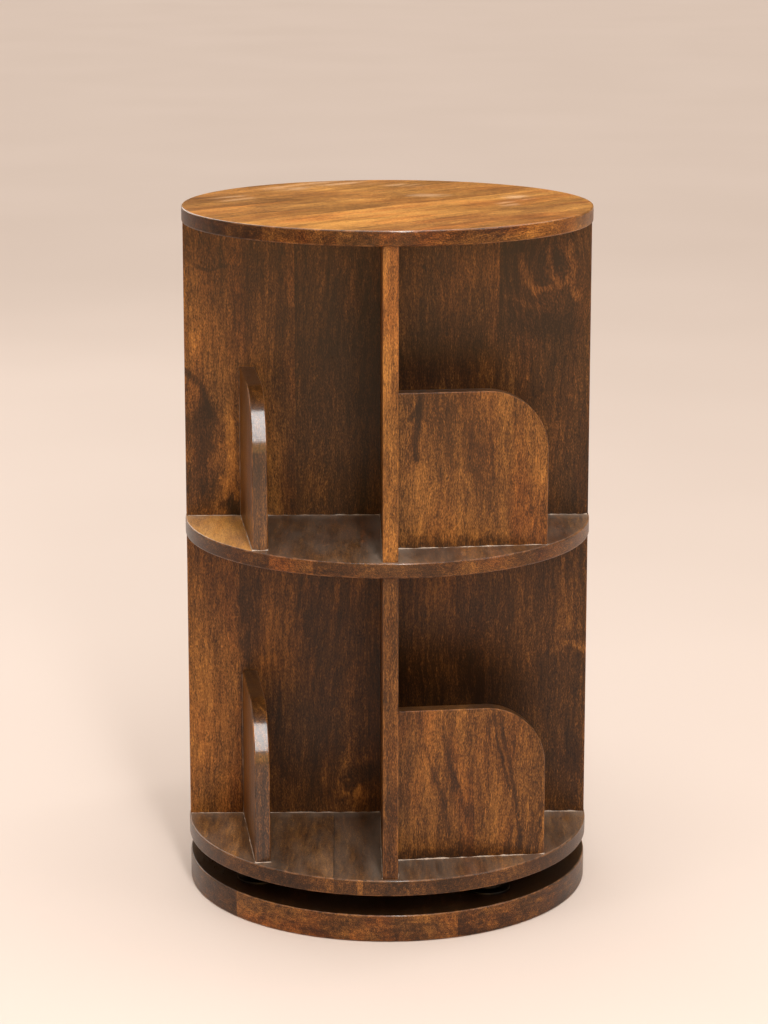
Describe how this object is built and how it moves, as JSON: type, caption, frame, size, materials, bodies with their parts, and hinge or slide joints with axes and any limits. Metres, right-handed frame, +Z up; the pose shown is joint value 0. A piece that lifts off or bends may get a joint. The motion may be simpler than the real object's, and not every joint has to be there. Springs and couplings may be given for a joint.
{
  "type": "revolving bookcase",
  "caption": "Round wooden revolving bookcase: stacked storeys of crossed panels with low pinwheel book stops, turning on ball rollers above a thick base disc.",
  "frame": {"origin": "on the turning axis, where the base disc meets the floor", "axes": "+Z up along the turning axis; -Y towards the front divider's edge; +X along the cross panel, to the right seen from the front"},
  "size_m": [0.41, 0.41, 0.697],
  "materials": {
    "stained_wood": "satin",
    "dowel_wood": "matte",
    "zinc_steel": "satin",
    "ball_steel": "polished",
    "nylon": "matte"
  },
  "bodies": {
    "base": {"base_disc": "stained_wood", "pivot_bolt": "zinc_steel", "pivot_head_washer": "zinc_steel", "pivot_base_nut": "zinc_steel", "pivot_lock_washer": "zinc_steel", "pivot_lock_nut": "zinc_steel", "roller_1_housing": "zinc_steel", "roller_2_housing": "zinc_steel", "roller_3_housing": "zinc_steel", "roller_4_housing": "zinc_steel", "roller_1_screw_a": "zinc_steel", "roller_1_screw_b": "zinc_steel", "roller_2_screw_a": "zinc_steel", "roller_2_screw_b": "zinc_steel", "roller_3_screw_a": "zinc_steel", "roller_3_screw_b": "zinc_steel", "roller_4_screw_a": "zinc_steel", "roller_4_screw_b": "zinc_steel"},
    "case": {"top_disc": "stained_wood", "middle_shelf": "stained_wood", "bottom_shelf": "stained_wood", "upper_cross_panel": "stained_wood", "upper_front_divider": "stained_wood", "upper_rear_divider": "stained_wood", "upper_stop_front_right": "stained_wood", "upper_stop_rear_right": "stained_wood", "upper_stop_rear_left": "stained_wood", "upper_stop_front_left": "stained_wood", "lower_cross_panel": "stained_wood", "lower_front_divider": "stained_wood", "lower_rear_divider": "stained_wood", "lower_stop_front_right": "stained_wood", "lower_stop_rear_right": "stained_wood", "lower_stop_rear_left": "stained_wood", "lower_stop_front_left": "stained_wood", "dowel_floor_left": "dowel_wood", "dowel_floor_right": "dowel_wood", "dowel_floor_front": "dowel_wood", "dowel_floor_rear": "dowel_wood", "dowel_shelf_left": "dowel_wood", "dowel_shelf_right": "dowel_wood", "dowel_shelf_front": "dowel_wood", "dowel_shelf_rear": "dowel_wood", "dowel_top_left": "dowel_wood", "dowel_top_right": "dowel_wood", "dowel_top_front": "dowel_wood", "dowel_top_rear": "dowel_wood", "dowel_lower_stop_front_right": "dowel_wood", "dowel_lower_stop_rear_right": "dowel_wood", "dowel_lower_stop_rear_left": "dowel_wood", "dowel_lower_stop_front_left": "dowel_wood", "dowel_upper_stop_front_right": "dowel_wood", "dowel_upper_stop_rear_right": "dowel_wood", "dowel_upper_stop_rear_left": "dowel_wood", "dowel_upper_stop_front_left": "dowel_wood", "pivot_bush": "nylon"},
    "roller_1_ball": {"roller_1_ball": "ball_steel"},
    "roller_2_ball": {"roller_2_ball": "ball_steel"},
    "roller_3_ball": {"roller_3_ball": "ball_steel"},
    "roller_4_ball": {"roller_4_ball": "ball_steel"}
  },
  "joints": [
    {"name": "case_spin", "type": "hinge", "parent": "base", "child": "case", "pos_m": [0, 0, 0.047], "axis": [0, 0, 1], "continuous": true},
    {"name": "roller_1_ball_roll", "type": "hinge", "parent": "base", "child": "roller_1_ball", "pos_m": [0.09749, -0.12938, 0.0387], "axis": [0.6018, -0.7986, 0], "continuous": true},
    {"name": "roller_2_ball_roll", "type": "hinge", "parent": "base", "child": "roller_2_ball", "pos_m": [0.12938, 0.09749, 0.0387], "axis": [0.7986, 0.6018, 0], "continuous": true},
    {"name": "roller_3_ball_roll", "type": "hinge", "parent": "base", "child": "roller_3_ball", "pos_m": [-0.09749, 0.12938, 0.0387], "axis": [-0.6018, 0.7986, 0], "continuous": true},
    {"name": "roller_4_ball_roll", "type": "hinge", "parent": "base", "child": "roller_4_ball", "pos_m": [-0.12938, -0.09749, 0.0387], "axis": [-0.7986, -0.6018, 0], "continuous": true}
  ],
  "couplings": [
    {"joint": "roller_1_ball_roll", "follows": "case_spin", "ratio": -20.25},
    {"joint": "roller_2_ball_roll", "follows": "case_spin", "ratio": -20.25},
    {"joint": "roller_3_ball_roll", "follows": "case_spin", "ratio": -20.25},
    {"joint": "roller_4_ball_roll", "follows": "case_spin", "ratio": -20.25}
  ]
}
